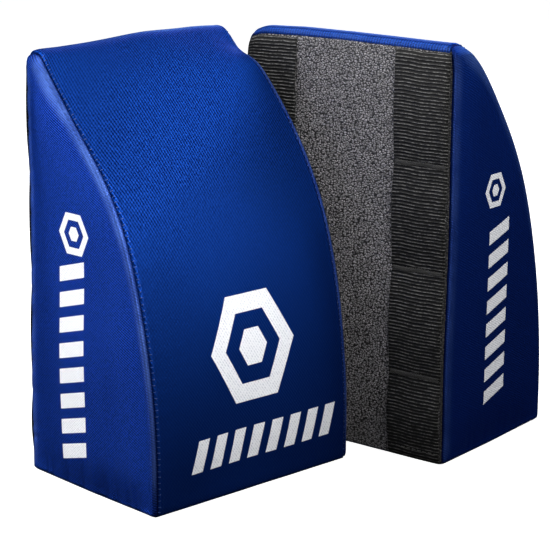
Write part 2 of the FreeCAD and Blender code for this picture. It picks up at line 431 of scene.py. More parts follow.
class SidePanel:
    """A side: a patch between the base, front, top and back, turned over the pad's edges to its seams."""

    def __init__(self, hand):
        self.hand = hand

    @staticmethod
    def seam(s):
        """The seam in the side's flat pattern, which stands outside the outline."""
        spot, out, radius, angle = outline.at(s)
        return spot + (radius * (QUARTER - 1 - angle))[..., None] * out

    def surface(self, a, b):
        base = self.seam(S_HEEL + b * (S_TOE - S_HEEL))
        top = self.seam(S_CROWN + b * (S_BROW - S_CROWN))
        back = self.seam(S_END + a * (S_CROWN - S_END))
        front = self.seam(S_TOE + a * (S_BROW - S_TOE))
        heel, toe, brow, crown = (self.seam(np.array(s)) for s in (S_HEEL, S_TOE, S_BROW, S_CROWN))
        a, b = a[..., None], b[..., None]
        flat = (1 - a) * base + a * top + (1 - b) * back + b * front
        flat -= (1 - a) * ((1 - b) * heel + b * toe) + a * ((1 - b) * crown + b * brow)
        return self.fold(flat)

    def fold(self, flat):
        """The flat pattern in place: flat on the side, and rolled round the edge near the seam."""
        s = outline.nearest(flat)
        spot, out, radius, angle = outline.at(s)
        depth = ((spot - flat) * out).sum(axis=-1)
        edge = depth + radius * (QUARTER - 1 - angle)
        rolled = np.clip(radius - depth, 0, None)
        turn = QUARTER - rolled / radius
        lift = radius * np.cos(turn)
        centre = spot - radius[..., None] * out
        yz = np.where((rolled > 0)[..., None], centre + lift[..., None] * out, flat)
        x = np.where(rolled > 0, HALF - radius + radius * np.sin(turn), HALF)
        point = vectors(self.hand * x, yz[..., 0], yz[..., 1])
        cos = np.where(rolled > 0, np.cos(turn), 0.0)
        sin = np.where(rolled > 0, np.sin(turn), 1.0)
        normal = vectors(self.hand * sin, cos * out[..., 0], cos * out[..., 1])
        return Surface(point, normal, flat, {"seam": edge}, s)

    @staticmethod
    def grid(coarse, fine, reach):
        rows = stations(HEIGHT, coarse, fine, (0, HEIGHT), reach)
        columns = stations(DEPTH, coarse, fine, (0, DEPTH), reach)
        return np.meshgrid(rows, columns, indexing="ij")


PANELS = {
    "front_panel": BandPanel(S_TOE, S_RETURN),
    "back_panel": BandPanel(S_RETURN, S_END),
    "base_panel": BandPanel(S_HEEL, S_TOE),
    "left_side_panel": SidePanel(-1),
    "right_side_panel": SidePanel(1),
}


# How the cloth of each panel is displaced, in millimetres outwards


# How strongly the seams of each pad pucker.
PUCKER = {"left": 1.0, "right": 0.2}
BODY_WAVE_LENGTHS = (47, 63, 88, 120)
# The two side seams of the front pucker differently: one reads its dents this much further along.
OTHER_SEAM = 500


def groove(edge, depth=0.8, width=0.8):
    return -depth * bell(edge, 0, width)


def within(s, start, end):
    """1 between two places along the outline, falling to 0 beyond them."""
    return bell(np.clip(s, start, end) - s, 0, 6)


def body_waves(surface, edge, seed, height):
    """The slow unevenness of cloth over foam, which dies away at the seams."""
    return height * ripples(*surface.xy, BODY_WAVE_LENGTHS, seed) * (1 - np.exp(-edge / 9))


def seam_puckers(edge, along, spacing, seed, height, reach):
    """Dents that the seam draws in the cloth beside it."""
    rise = 1 - np.exp(-np.clip(edge, 0, None) / 1.6)
    return -height * pinches(along, spacing, seed) * rise * np.exp(-edge / reach)


def front_relief(surface, seed, pucker):
    side, start = surface.edge["side"], surface.edge["start"]
    x, y = surface.xy
    along = np.where(x < 0, y, y + OTHER_SEAM)
    relief = groove(side) + groove(start, 0.6) + groove(surface.edge["end"], 0.2, 0.6)
    relief += 0.15 * bell(side, 2.2, 1.0)
    relief += seam_puckers(side, along, 9.0, seed, 0.25 * pucker, 5.0)
    relief += seam_puckers(start, x, 15.0, seed + 1, 0.4 * pucker, 7.0)
    edge = np.minimum(side, start + 4)
    return relief + body_waves(surface, edge, seed + 2, 0.15 + 0.15 * pucker)


def side_relief(surface, seed, pucker):
    edge, s = surface.edge["seam"], surface.along
    relief = groove(edge) + (0.2 + 0.35 * within(s, S_TOE, S_CROWN)) * bell(edge, 2.4, 1.5)
    base_puckers = seam_puckers(edge, s, 9.5, seed, 2.2 * pucker, 8.0)
    back_puckers = seam_puckers(edge, s, 13.0, seed + 1, 0.9 * pucker, 6.0)
    relief += within(s, S_HEEL + 8, S_TOE - 8) * base_puckers
    relief += within(s, S_CROWN + 12, S_END - 12) * back_puckers
    return relief + body_waves(surface, edge, seed + 3, 0.1 + 0.3 * pucker)


def back_relief(surface, seed, _):
    side, start, end = (surface.edge[name] for name in ("side", "start", "end"))
    relief = groove(side, 0.3, 0.6) + groove(end, 0.5) + groove(start, 0.5, 0.6)
    between = bell(surface.cut[..., 0], 0, 22)
    uneven = 0.5 + 0.25 * ripples(*surface.xy, (38, 55, 80), seed)
    return relief + between * uneven * (1 - np.exp(-end / 12))


def base_relief(surface, seed, _):
    return -0.35 * (1 + ripples(*surface.xy, (30, 44, 70), seed)) * (1 - np.exp(-surface.nearest / 5))


RELIEF = {
    "front_panel": front_relief,
    "back_panel": back_relief,
    "base_panel": base_relief,
    "left_side_panel": side_relief,
    "right_side_panel": side_relief,
}
# The panels that the simulation moves, and how far at most.
SWELLING = ("front_panel", "left_side_panel", "right_side_panel")
SWELL_CAP = 1.8


def ramp(x, start, end):
    """A smooth step from 0 at start to 1 at end."""
    t = np.clip((x - start) / (end - start), 0, 1)
    return t * t * (3 - 2 * t)


def round_corners(points, radii):
    """Turns the pad's two top corners, as seen from the back, to quarter rounds of these radii."""
    x, z = points[..., 0].copy(), points[..., 2].copy()
    for hand, radius in zip((-1, 1), radii):
        a = np.clip((hand * x - (HALF - radius)) / radius, 0, 1.2)
        b = np.clip((z - (HEIGHT - radius)) / radius, 0, 1.2)
        inside = (a > 0) & (b > 0)
        new_a = a * np.sqrt(np.clip(1 - b * b / 2, 0, 1))
        new_b = b * np.sqrt(np.clip(1 - a * a / 2, 0, 1))
        x = np.where(inside, x + hand * (new_a - a) * radius, x)
        z = np.where(inside, z + (new_b - b) * radius, z)
    return vectors(x, points[..., 1], z)


def settled(points, pad):
    """How the filled cover sits: round top corners, a slack top edge, a spread heel, and the pushes."""
    points = round_corners(points, TOP_CORNERS[pad])
    x, y, z = points[..., 0], points[..., 1], points[..., 2]
    rise = np.interp(x, *TOP_SLACK[pad]) * ramp(z, SLACK_FROM, HEIGHT)
    spread = HEEL_SPREAD * (1 - ramp(z, *HEEL_FADE)) * ramp(-x, -10, HALF) * ramp(y, -DEPTH, 0)
    points = vectors(x, y + spread, z + rise)
    for push, middle, reach in PUSHES[pad]:
        away = (points - middle) / reach
        front = ramp(-points[..., 1], 0, PUSH_FADE) if middle[1] < PUSH_FRONT else 1.0
        points = points + np.array(push) * (front * np.exp(-(away**2).sum(axis=-1)))[..., None]
    return points


# Cloth simulation: the cover's panels, held at their seams and inflated


SIM_GRIDS = {
    "front_panel": (58, 28),
    "back_panel": (44, 26),
    "base_panel": (20, 26),
    "left_side_panel": (48, 22),
    "right_side_panel": (48, 22),
}
SIM_FRAMES = 20
SMOOTHING_PASSES = 8
# How much larger than its panel each pad's cloth is cut, in parts of its size, so that it swells.
GROWTH = {"left": 0.0036, "right": 0.002}
CLOTH_SETTINGS = {
    "quality": 6,
    "mass": 0.02,
    "tension_stiffness": 12,
    "compression_stiffness": 12,
    "shear_stiffness": 6,
    "bending_stiffness": 0.4,
    "tension_damping": 6,
    "compression_damping": 6,
    "shear_damping": 6,
    "air_damping": 2,
    "use_pressure": True,
    "uniform_pressure_force": 6.0,
    "vertex_group_mass": "seams",
    "pin_stiffness": 1.0,
}


def sim_sheet(pad):
    """One mesh that holds every panel of a pad as a coarse grid, with the seams pinned."""
    verts, faces, pinned, slices = [], [], [], {}
    offset = 0
    for name, (rows, columns) in SIM_GRIDS.items():
        points = PANELS[name].surface(*unit_grid(rows, columns)).point
        verts.append(points.reshape(-1, 3) * MM)
        index = np.arange(rows * columns).reshape(rows, columns) + offset
        faces += quads(index, name != "right_side_panel")
        rim = np.ones((rows, columns), bool)
        rim[1:-1, 1:-1] = False
        pinned += index[rim].tolist()
        slices[name] = (offset, rows, columns)
        offset += rows * columns
    mesh = bpy.data.meshes.new(f"{pad}_pad_sim")
    mesh.from_pydata(np.concatenate(verts).tolist(), [], faces)
    sheet = add_object(mesh.name, mesh)
    sheet.vertex_groups.new(name="seams").add(pinned, 1.0, "REPLACE")
    return sheet, slices


def quads(index, flip=False):
    """Faces over a grid of vertex numbers."""
    corners = [index[:-1, :-1], index[1:, :-1], index[1:, 1:], index[:-1, 1:]]
    if flip:
        corners.reverse()
    return np.stack([corner.ravel() for corner in corners], axis=-1).tolist()


def add_cloth(sheet, growth):
    cloth = sheet.modifiers.new("cloth", "CLOTH")
    for key, value in CLOTH_SETTINGS.items():
        setattr(cloth.settings, key, value)
    cloth.settings.shrink_min = -growth
    cloth.settings.shrink_max = -growth
    cloth.settings.effector_weights.gravity = 0.0
    cloth.collision_settings.use_collision = False
    cloth.point_cache.frame_start = 1
    cloth.point_cache.frame_end = SIM_FRAMES


def places_of(mesh):
    flat = np.empty(len(mesh.vertices) * 3)
    mesh.vertices.foreach_get("co", flat)
    return flat.reshape(-1, 3)


def simulate():
    """How the inflated cloth of the swelling panels moved, as coarse grids in each pad's own frame."""
    sheets = {pad: sim_sheet(pad) for pad in PADS}
    for pad, (sheet, _) in sheets.items():
        add_cloth(sheet, GROWTH[pad])
    scene = bpy.context.scene
    for number in range(1, SIM_FRAMES + 1):
        scene.frame_set(number)
    moves = {}
    for pad, (sheet, slices) in sheets.items():
        moved = sheet.evaluated_get(bpy.context.evaluated_depsgraph_get())
        move = (places_of(moved.data) - places_of(sheet.data)) / MM
        for name in SWELLING:
            offset, rows, columns = slices[name]
            grid = move[offset:offset + rows * columns].reshape(rows, columns, 3)
            moves[pad, name] = smoothed(capped(grid))
    scene.frame_set(1)
    for sheet, _ in sheets.values():
        mesh = sheet.data
        bpy.data.objects.remove(sheet)
        bpy.data.meshes.remove(mesh)
    return moves


def smoothed(grid):
    """The moves without buckles as small as the simulation's own grid; the seams stay where they are."""
    for _ in range(SMOOTHING_PASSES):
        inner = grid[1:-1, 1:-1]
        beside = grid[:-2, 1:-1] + grid[2:, 1:-1] + grid[1:-1, :-2] + grid[1:-1, 2:]
        eased = grid.copy()
        eased[1:-1, 1:-1] = 0.4 * inner + 0.15 * beside
        grid = eased
    return grid


def capped(move):
    """The moves, eased so that none is longer than SWELL_CAP."""
    size = np.linalg.norm(move, axis=-1, keepdims=True)
    return move * (SWELL_CAP * np.tanh(size / SWELL_CAP) / np.maximum(size, 1e-9))


def spline_weights(position, count):
    """Catmull-Rom neighbours and weights at a fractional place in a row of values."""
    place = np.clip(position, 0, 1) * (count - 1)
    base = np.clip(np.floor(place).astype(int), 0, count - 2)
    t = place - base
    weights = [(-t + 2 * t**2 - t**3) / 2, (2 - 5 * t**2 + 3 * t**3) / 2,
               (t + 4 * t**2 - 3 * t**3) / 2, (t**3 - t**2) / 2]
    return [np.clip(base + k, 0, count - 1) for k in (-1, 0, 1, 2)], weights


def resample(grid, a, b):
    """A coarse grid of moves at finer places."""
    rows, row_weights = spline_weights(a, grid.shape[0])
    columns, column_weights = spline_weights(b, grid.shape[1])
    total = np.zeros(a.shape + (3,))
    for row, row_weight in zip(rows, row_weights):
        for column, column_weight in zip(columns, column_weights):
            total += grid[row, column] * (row_weight * column_weight)[..., None]
    return total


# Meshes


def new_mesh(name, verts, faces, cut=None, painted_sheen_and_shade=None):
    """A smooth mesh object. Cut is each vertex's place in the flat cloth, in metres, kept as a UV map; the
    last array is painted light, kept as an attribute: how much painted highlight and how much painted seam
    shade a vertex gets."""
    mesh = bpy.data.meshes.new(name)
    mesh.from_pydata(np.asarray(verts).tolist(), [], faces)
    mesh.shade_smooth()
    if cut is not None:
        layer = mesh.uv_layers.new(name="cut")
        corner = np.empty(len(mesh.loops), np.int32)
        mesh.loops.foreach_get("vertex_index", corner)
        layer.data.foreach_set("uv", (np.asarray(cut)[corner] * MM).ravel())
    if painted_sheen_and_shade is not None:
        triples = np.column_stack([painted_sheen_and_shade, np.zeros(len(painted_sheen_and_shade))])
        mesh.attributes.new("painted_sheen_and_shade", "FLOAT_VECTOR", "POINT").data.foreach_set("vector", triples.ravel())
    mesh.validate()
    return add_object(name, mesh)


def shell(name, outer, inner, cut, painted_sheen_and_shade, flip):
    """A closed sheet from two grids of points, joined round their rims."""
    rows, columns = outer.shape[:2]
    index = np.arange(rows * columns).reshape(rows, columns)
    under = index + rows * columns
    faces = quads(index, flip) + quads(under, not flip)
    rim = np.concatenate([index[0, :], index[1:, -1], index[-1, -2::-1], index[-2:0:-1, 0]])
    around = vectors(rim, np.roll(rim, -1))
    for here, there in around.tolist():
        face = [here, there, there + rows * columns, here + rows * columns]
        faces.append(face[::-1] if not flip else face)
    verts = np.concatenate([outer.reshape(-1, 3), inner.reshape(-1, 3)])
    cuts = np.concatenate([cut.reshape(-1, 2)] * 2)
    return new_mesh(name, verts, faces, cuts, np.concatenate([painted_sheen_and_shade.reshape(-1, 2)] * 2))


THREAD_SIDES = 6
# A thread's thickness, in parts of its width.
THREAD_FLATNESS = 0.8


def rings(points, normals, radius):
    """Cross-sections of a thread along a path, a little flattened along the normals."""
    turn = np.arange(THREAD_SIDES) * 2 * math.pi / THREAD_SIDES
    way = np.gradient(points, axis=0)
    way /= np.maximum(np.linalg.norm(way, axis=-1, keepdims=True), 1e-9)
    across = np.cross(way, normals)
    across /= np.maximum(np.linalg.norm(across, axis=-1, keepdims=True), 1e-9)
    up = np.cross(across, way)
    radius = np.broadcast_to(radius, len(points))[:, None, None]
    wide = np.cos(turn)[None, :, None] * across[:, None]
    high = THREAD_FLATNESS * np.sin(turn)[None, :, None] * up[:, None]
    return points[:, None] + radius * (wide + high)


def tube_faces(first, rows, sides):
    """Faces of one closed tube whose vertices start at first."""
    index = np.arange(rows * sides).reshape(rows, sides) + first
    wrapped = np.concatenate([index, index[:, :1]], axis=1)
    return quads(wrapped, True) + [index[0].tolist(), index[-1, ::-1].tolist()]


def threads(name, paths, place):
    """Many short tubes in one mesh; each path is its points, its normals and its radii."""
    verts, faces, first = [], [], 0
    for points, normals, radius in paths:
        verts.append(rings(points, normals, radius).reshape(-1, 3))
        faces += tube_faces(first, len(points), THREAD_SIDES)
        first += len(verts[-1])
    return new_mesh(name, place.to_row(np.concatenate(verts)), faces)


# The cover, as sewn


def painted_light_of(name, surface):
    """Painted light: a painted highlight where the cloth turns over an edge, and painted shade where it goes
    down into a seam.
    """
    s = surface.along
    if "seam" not in surface.edge:
        # The first part is painted highlight, the second painted shade in the seams.
        turned = np.zeros_like(s)
        if name == "back_panel":
            # The vinyl back gets no painted highlight, and painted shade beside its side seams.
            return vectors(turned, 1 - ramp(surface.edge["side"], 0.8, 3.4))
        if name == "front_panel":
            # Painted highlight where the front turns over the top.
            turned = 0.35 * ramp(s, S_CROWN - 2, S_CROWN + 2)
        return vectors(turned, bell(surface.nearest, 0, 0.55))
    edge = surface.edge["seam"]
    width = np.interp(s, (S_TOE, S_TOE + 40, S_BROW - 40, S_BROW), (1.3, 1.4, 3.0, 5.0))
    in_front = ramp(s, S_TOE + 2, S_TOE + 20) * (1 - ramp(s, S_BROW - 6, S_CROWN))
    at_back = ramp(s, S_CROWN, S_CROWN + 10)
    # Painted highlight: a band on the side's rounding by the front seam, and a fainter one by the back seam.
    front = in_front * ramp(edge, 0.0, 1.4) * (1 - ramp(edge, 0.7 * width, 2.6 * width))
    back = 0.45 * at_back * ramp(edge, 0.2, 1.6) * (1 - ramp(edge, 2.5, 7.5))
    # The second part is painted shade in the seam.
    return vectors(np.maximum(front, back), bell(edge, 0, 0.55))


class Cover:
    """One pad's cover: every panel with its cloth's unevenness, and what the simulation adds."""

    def __init__(self, pad, moves):
        self.pad, self.place, self.moves = pad, places[pad], moves
        self.strip_seeds = {hand: RNG_SEED + 11 * (1 + PADS.index(pad)) + hand for _, hand in HANDS}
        self.seeds = {name: 100 * (1 + PADS.index(pad)) + 10 * k for k, name in enumerate(PANELS)}

    def points(self, name, a, b, lift=0.0):
        surface = PANELS[name].surface(a, b)
        relief = RELIEF[name](surface, self.seeds[name], PUCKER[self.pad]) + lift
        point = surface.point + relief[..., None] * surface.normal
        if (self.pad, name) in self.moves:
            point = point + resample(self.moves[self.pad, name], a, b)
        point[..., 2] = np.clip(point[..., 2], 0, None)
        return settled(point, self.pad), surface

    def panel(self, name, a, b):
        outer, surface = self.points(name, a, b)
        inner, _ = self.points(name, a, b, -CLOTH)
        inner[..., 2] = np.clip(inner[..., 2], LINING_FLOOR, None)
        to_row = self.place.to_row
        flip = name != "right_side_panel"
        return shell(f"{self.pad}_pad_{name}_cloth", to_row(outer), to_row(inner), surface.cut,
                     painted_light_of(name, surface), flip)


# Each panel's mesh: its coarse and fine steps, where a band panel closes up, and how far that reaches.
FINE_GRIDS = {
    "front_panel": (1.5, 0.45, (S_TOE, S_BROW, S_CROWN, S_RETURN), 6),
    "back_panel": (1.8, 0.5, (S_RETURN, S_END), 4),
    "base_panel": (3.0, 0.5, (S_HEEL, S_TOE), 4),
    "left_side_panel": (1.5, 0.42, 6),
    "right_side_panel": (1.5, 0.42, 6),
}


# The webbing


def tack_heights():
    return [WEB_TOP - LOOP_PITCH * count for count in (3, 2, 1)]


def loop_spans():
    ends = [WEB_BOTTOM, *tack_heights(), WEB_TOP]
    return list(zip(ends, ends[1:]))


def loop_lift(z, seed):
    """How far the webbing's underside stands off the back: each loop is a bend, a crown and a bend."""
    draw = np.random.default_rng(seed)
    lift = np.zeros_like(z)
    for bottom, top in loop_spans():
        half = (top - bottom - TACK_HEIGHT) / 2
        slope = 2 * math.atan(LOOP_RISE / half)
        crown = half / math.sin(slope) - LOOP_BEND
        away = np.abs(z - (bottom + top) / 2)
        over = LOOP_RISE - crown + np.sqrt(np.clip(crown**2 - away**2, 0, None))
        left = np.clip(half - away, 0, None)
        under = LOOP_BEND - np.sqrt(np.clip(LOOP_BEND**2 - left**2, 0, None))
        bow = np.where(away < crown * math.sin(slope), over, under)
        lift += draw.uniform(*LOOP_BOW) * bow
    return lift


def tuck(z):
    """How far the webbing sinks where its ends are caught in the top and base seams."""
    top = np.clip((z - (WEB_TOP - 1.5)) / 6, 0, 1)
    base = np.clip((WEB_BOTTOM + 3.0 - z) / 5, 0, 1)
    return TUCK_DEPTH * (top**1.5 + base**1.5)


def web_middle(hand):
    return hand * (HALF - WEB_MARGIN - WEB_WIDTH / 2)


def web_surface(x, z, hand, seed):
    """Underside and upper side of the webbing over places on the back, and the ribs' count there."""
    local = x - web_middle(hand)
    spread = local / (WEB_WIDTH / 2)
    lift = loop_lift(z, seed) * (1 + 0.10 * spread * waves(z, (71.0,), seed + 1)) - tuck(z)
    past_flat = np.clip(np.abs(x) - (HALF - WEB_HUG), 0, WEB_HUG)
    lift -= WEB_DROP * (WEB_HUG - np.sqrt(WEB_HUG**2 - past_flat**2))
    near_tack = sum(bell(z, height, 2.4) for height in tack_heights())
    thick = WEB_THICKNESS * (1 - TACK_SQUEEZE * near_tack)
    body = np.sqrt(np.clip(1 - np.abs(spread) ** 14, 0, 1))
    drift = 0.10 * waves(local, (19.0, 33.0), seed + 2) + 0.08 * waves(z, (13.0, 31.0), seed + 3)
    count = z / RIB_PITCH + drift + 0.04 * waves(z + 3 * local, (11.0, 27.0), seed + 4)
    rib = np.sqrt(np.abs(np.sin(math.pi * count)))
    selvage = np.clip((1 - np.abs(spread)) * WEB_WIDTH / 2 / SELVAGE, 0.25, 1)
    depth = RIB_DEPTH * (1 - 0.6 * near_tack) * selvage
    middle = lift + thick / 2
    upper = middle + body * (thick / 2 - depth * (1 - rib))
    lower = middle - body * (thick / 2 - 0.3 * depth * (1 - rib))
    return lower, upper, count


def webbing(cover, side, hand):
    """One strip as a ribbed ring swept up the back, with its ends caught in the seams."""
    seed = cover.strip_seeds[hand]
    rows = np.linspace(0.9, HEIGHT - 2.4, WEB_ROWS)
    turn = np.linspace(-QUARTER, QUARTER, WEB_COLUMNS)
    spread = np.sign(turn) * np.abs(np.sin(turn)) ** 0.9 * WEB_WIDTH / 2
    z, local = np.meshgrid(rows, spread, indexing="ij")
    x = local + web_middle(hand)
    lower, upper, count = web_surface(x, z, hand, seed)
    over = vectors(x, upper, z)
    under = vectors(x, lower, z)[:, -2:0:-1]
    ring = settled(np.concatenate([over, under], axis=1), cover.pad)
    flat = vectors(local, count * RIB_PITCH)
    cut = np.concatenate([flat, flat[:, -2:0:-1]], axis=1)
    sides = ring.shape[1]
    faces = tube_faces(0, len(rows), sides)
    verts = cover.place.to_row(ring).reshape(-1, 3)
    return new_mesh(f"{cover.pad}_pad_{side}_webbing_strip", verts, faces, cut.reshape(-1, 2))


def bartack_paths(cover, hand):
    """Three rows of close zigzag across a strip, each over two laid threads."""
    seed = cover.strip_seeds[hand]
    draw = np.random.default_rng(seed + 50)
    normal = np.array([0.0, 1.0, 0.0])
    reach = WEB_WIDTH / 2 - 1.2
    for height in tack_heights():
        count = 2 * int(reach / TACK_STEP)
        local = np.linspace(-reach, reach, count)
        swing = np.where(np.arange(count) % 2 == 0, 1.0, -1.0)
        z = height + 0.25 * waves(local, (19.0,), seed + 7) + swing * draw.uniform(0.95, 1.35, count)
        x = web_middle(hand) + local + draw.uniform(-0.08, 0.08, count)
        _, upper, _ = web_surface(x, z, hand, seed)
        points = vectors(x, upper + 0.18, z)
        points = settled(smooth_path(points, 3), cover.pad)
        yield points, np.broadcast_to(normal, points.shape), TACK_THREAD
        for offset in (-0.55, 0.6):
            x = web_middle(hand) + np.linspace(-reach - 0.4, reach + 0.4, 40)
            z = height + offset + 0.12 * waves(x, (11.0, 5.0), seed + 9)
            _, upper, _ = web_surface(x, z, hand, seed)
            points = settled(vectors(x, upper + 0.1, z), cover.pad)
            yield points, np.broadcast_to(normal, points.shape), LAID_THREAD


def smooth_path(points, parts):
    """A Catmull-Rom path through the points, with this many parts between neighbours."""
    grid = points[:, None, :]
    place = np.linspace(0, 1, parts * (len(points) - 1) + 1)
    return resample(np.repeat(grid, 2, axis=1), place[:, None], np.zeros((len(place), 1)))[:, 0]


def stitch(points, normals, radius):
    """One stitch: a short thread that thins towards its ends."""
    return points, normals, radius * np.sqrt(np.clip(1.05 - STITCH_PARTS**2, 0.05, 1))


def topstitch(cover, side, hand):
    """Short stitches on the front panel, nearly square to its side seam and just inside it."""
    draw = np.random.default_rng(cover.seeds["front_panel"] + 5 + hand)
    paths = []
    for middle in np.arange(S_TOE + STITCH_PITCH, S_BROW - STITCH_PITCH / 2, STITCH_PITCH):
        s = middle + draw.uniform(-0.2, 0.2) + STITCH_PARTS * draw.uniform(-0.25, 0.1)
        inset = STITCH_INSET + draw.uniform(-0.1, 0.1)
        across = hand * (outline.seam_reach(s) - inset + STITCH_PARTS * STITCH_LENGTH / 2)
        a, b = PANELS["front_panel"].places(s, across)
        points, surface = cover.points("front_panel", a, b, 0.30 * (1 - 1.6 * STITCH_PARTS**2))
        paths.append(stitch(points, surface.normal, TOPSTITCH_THREAD))
    return threads(f"{cover.pad}_pad_{side}_topstitch_thread", paths, cover.place)


def hem_stitching(cover):
    """The row of stitches through the back's lower hem and the ends of the strips."""
    reach = HALF - WEB_MARGIN - 1.5
    step = 0.22 * (1 - 1.9 * STITCH_PARTS**2)
    draw = np.random.default_rng(cover.seeds["back_panel"] + 5)
    paths = []
    for middle in np.arange(-reach, reach, HEM_PITCH):
        x = middle + STITCH_PARTS * HEM_STITCH / 2
        s = np.full_like(x, S_END - HEM_HEIGHT + draw.uniform(-0.1, 0.1))
        points, surface = cover.points("back_panel", *PANELS["back_panel"].places(s, x), step)
        if abs(middle) > HALF - WEB_MARGIN - WEB_WIDTH + 0.5:
            hand = 1 if middle > 0 else -1
            _, upper, _ = web_surface(x, points[:, 2], hand, cover.strip_seeds[hand])
            spread = settled(vectors(x, upper + step + 0.1, points[:, 2]), cover.pad)
            points = np.where(spread[:, 1:2] > points[:, 1:2], spread, points)
        paths.append(stitch(points, surface.normal, HEM_THREAD))
    return threads(f"{cover.pad}_pad_hem_stitching", paths, cover.place)


# The foam inside


def foam_core(cover):
    """The core that fills the cover: the same shape, drawn in, as one closed mesh."""
    legs = [(S_HEEL, S_TOE, 20), (S_TOE, S_BROW, 50), (S_BROW, S_CROWN, 20), (S_CROWN, S_END, 50)]
    s = np.concatenate([np.linspace(start, end, count, endpoint=False) for start, end, count in legs])
    grid_s, grid_b = np.meshgrid(s, np.linspace(-1, 1, 25), indexing="ij")
    point, normal = band_point(grid_s, grid_b * outline.seam_reach(grid_s))
    parts = [(point - FOAM_INSET * normal, True, True)]
    for side, hand in HANDS:
        surface = PANELS[f"{side}_side_panel"].surface(*unit_grid(51, 21))
        parts.append((surface.point - FOAM_INSET * surface.normal, hand < 0, False))
    verts, faces, first = [], [], 0
    for points, flip, closed in parts:
        points = settled(points, cover.pad)
        points[..., 2] = np.clip(points[..., 2], FOAM_FLOOR, None)
        rows, columns = points.shape[:2]
        index = np.arange(rows * columns).reshape(rows, columns) + first
        if closed:
            index = np.concatenate([index, index[:1]], axis=0)
        faces += quads(index, flip)
        verts.append(points.reshape(-1, 3))
        first += rows * columns
    piece = new_mesh(f"{cover.pad}_pad_foam_block", cover.place.to_row(np.concatenate(verts)), faces)
    weld(piece, WELD_REACH * MM)
    return piece


def weld(piece, distance):
    work = bmesh.new()
    work.from_mesh(piece.data)
    bmesh.ops.remove_doubles(work, verts=work.verts, dist=distance)
    bmesh.ops.recalc_face_normals(work, faces=work.faces)
    work.to_mesh(piece.data)
    work.free()


# Materials


# The numbers of a mix node's colour sockets.
MIX_FIRST = 6
MIX_SECOND = 7
MIX_RESULT = 2


class Nodes:
    """Short calls that build one node tree."""

    def __init__(self, tree):
        self.tree = tree

    def add(self, kind, inputs=None, **settings):
        """A node with these settings, whose inputs are given values or sockets."""
        node = self.tree.nodes.new(kind)
        for key, value in settings.items():
            setattr(node, key, value)
        for key, value in (inputs or {}).items():
            self.feed(node.inputs[key], value)
        return node

    def feed(self, socket, value):
        """Links a socket or sets a value; a colour is given without its alpha, which is 1."""
        if isinstance(value, bpy.types.NodeSocket):
            self.tree.links.new(value, socket)
        else:
            socket.default_value = (*value, 1.0) if socket.type == "RGBA" else value

    def math(self, operation, *values, clamp=False):
        inputs = dict(enumerate(values))
        return self.add("ShaderNodeMath", inputs, operation=operation, use_clamp=clamp).outputs[0]

    def chain(self, operation, values):
        return reduce(lambda total, value: self.math(operation, total, value), values)

    def sum(self, *values):
        return self.chain("ADD", values)

    def times(self, *values):
        return self.chain("MULTIPLY", values)

    def minus(self, first, second):
        return self.math("SUBTRACT", first, second)

    def span(self, value, low, high, to_low=0.0, to_high=1.0):
        """A smooth ramp from to_low at low to to_high at high."""
        inputs = dict(enumerate((value, low, high, to_low, to_high)))
        return self.add("ShaderNodeMapRange", inputs, interpolation_type="SMOOTHSTEP").outputs[0]

    def mix(self, factor, first, second):
        inputs = {"Factor": factor, MIX_FIRST: first, MIX_SECOND: second}
        return self.add("ShaderNodeMix", inputs, data_type="RGBA").outputs[MIX_RESULT]

    def vector(self, x, y):
        return self.add("ShaderNodeCombineXYZ", {0: x, 1: y}).outputs[0]

    def parts(self, vector):
        return self.add("ShaderNodeSeparateXYZ", {0: vector}).outputs

    def noise_at(self, place, scale, detail=2.0, roughness=0.5, dimensions="2D"):
        inputs = {"Vector": place, "Scale": scale, "Detail": detail, "Roughness": roughness}
        return self.add("ShaderNodeTexNoise", inputs, noise_dimensions=dimensions)

    def noise(self, scale, detail=2.0, roughness=0.5):
        place = self.add("ShaderNodeTexCoord").outputs["Object"]
        return self.noise_at(place, scale, detail, roughness, "3D").outputs[0]


class Material(Nodes):
    """The nodes of one material."""

    def __init__(self, name):
        self.material = bpy.data.materials.new(name)
        self.material.use_nodes = True
        super().__init__(self.material.node_tree)
        self.shader = self.tree.nodes["Principled BSDF"]

    def flat_place(self):
        """Where a point lies in the flat cloth, in millimetres."""
        uv = self.add("ShaderNodeUVMap", uv_map="cut").outputs[0]
        scaled = self.add("ShaderNodeVectorMath", {0: uv, "Scale": 1 / MM}, operation="SCALE")
        return self.parts(scaled.outputs[0])[:2]

    def painted_sheen_and_shade(self):
        """How much painted highlight the cloth gets here, and how much painted shade from a seam."""
        return self.parts(self.add("ShaderNodeAttribute", attribute_name="painted_sheen_and_shade").outputs["Vector"])[:2]

    def wave(self, x, y, angle, pitch):
        """A sine from -1 to 1 over the flat cloth, its crests at this angle to the y axis."""
        turned = self.sum(self.times(x, math.cos(angle) * 2 * math.pi / pitch),
                          self.times(y, math.sin(angle) * 2 * math.pi / pitch))
        return self.math("SINE", turned)

    def finish(self, colour, roughness, height, relief, **others):
        """Colour, roughness and bump; height is in parts of relief, which is in millimetres."""
        bump = self.add("ShaderNodeBump", {"Distance": relief * MM, "Height": height}).outputs[0]
        others.update(Normal=bump, Base_Color=colour, Roughness=roughness)
        for name, value in others.items():
            self.feed(self.shader.inputs[name.replace("_", " ")], value)
        return self.material


INK = (0.88, 0.89, 0.93)
PRINT_BLUR = 0.16
# The badge's rim, the rim of its hole and that of its centre, in parts of its size.
BADGE_EDGES = (1.0, 0.66, 0.34)
# How far a bar leans for its height, and half its width in parts of the bars' pitch.
BAR_SLANT = 0.28
BAR_HALF = 0.29


